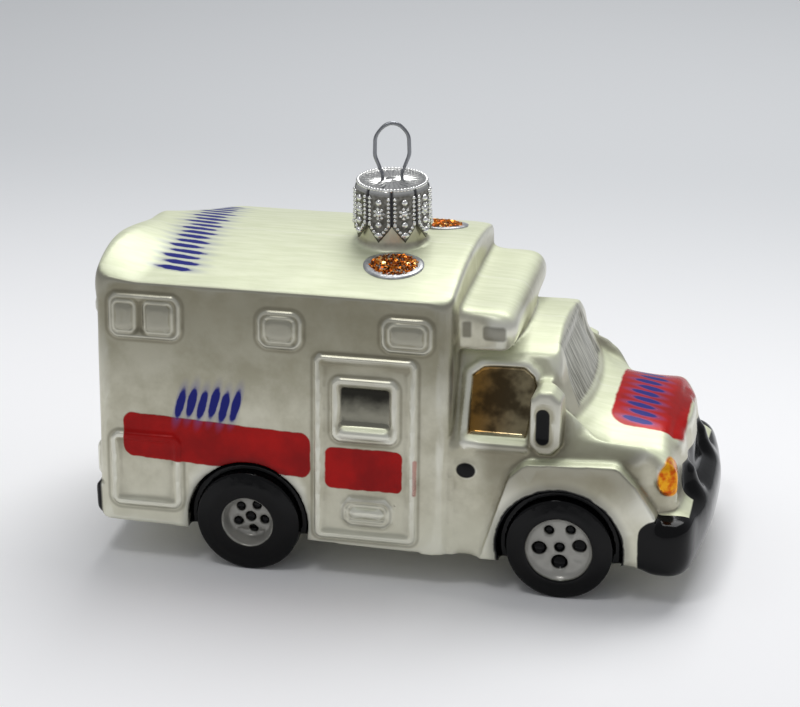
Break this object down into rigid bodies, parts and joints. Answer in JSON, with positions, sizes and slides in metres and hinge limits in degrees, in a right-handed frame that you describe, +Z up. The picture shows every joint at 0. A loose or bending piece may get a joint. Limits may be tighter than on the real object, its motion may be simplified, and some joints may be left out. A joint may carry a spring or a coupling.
{
  "type": "blown-glass ambulance ornament",
  "caption": "Hollow blown-glass tree ornament shaped like a box ambulance, with moulded wheels and relief, a crown cap on its neck and a spring-wire hanging loop.",
  "frame": {"origin": "on the ground under the middle of the ornament's length and width", "axes": "+X to the front of the vehicle shape, +Y to its left, +Z up"},
  "size_m": [0.1136, 0.0518, 0.0795],
  "materials": {
    "silvered_glass": "silvered inside, pearl lacquer outside with red, black, amber and blue paint",
    "cap_metal": "bright stamped tinplate",
    "hanger_steel": "drawn spring wire",
    "copper_glitter": "copper and orange glitter flakes in clear glue"
  },
  "bodies": {
    "glass": {"glass_body": "silvered_glass", "roof_glitter_right": "copper_glitter", "roof_glitter_left": "copper_glitter"},
    "crown_cap": {"cap": "cap_metal"},
    "hanger": {"hanger_wire": "hanger_steel"}
  },
  "joints": [
    {"name": "cap_lift", "type": "slide", "parent": "glass", "child": "crown_cap", "axis": [0, 0, 1], "range_m": [0, 0.024]},
    {"name": "loop_slide", "type": "slide", "parent": "crown_cap", "child": "hanger", "axis": [0, 0, 1], "range_m": [0, 0.003]}
  ]
}
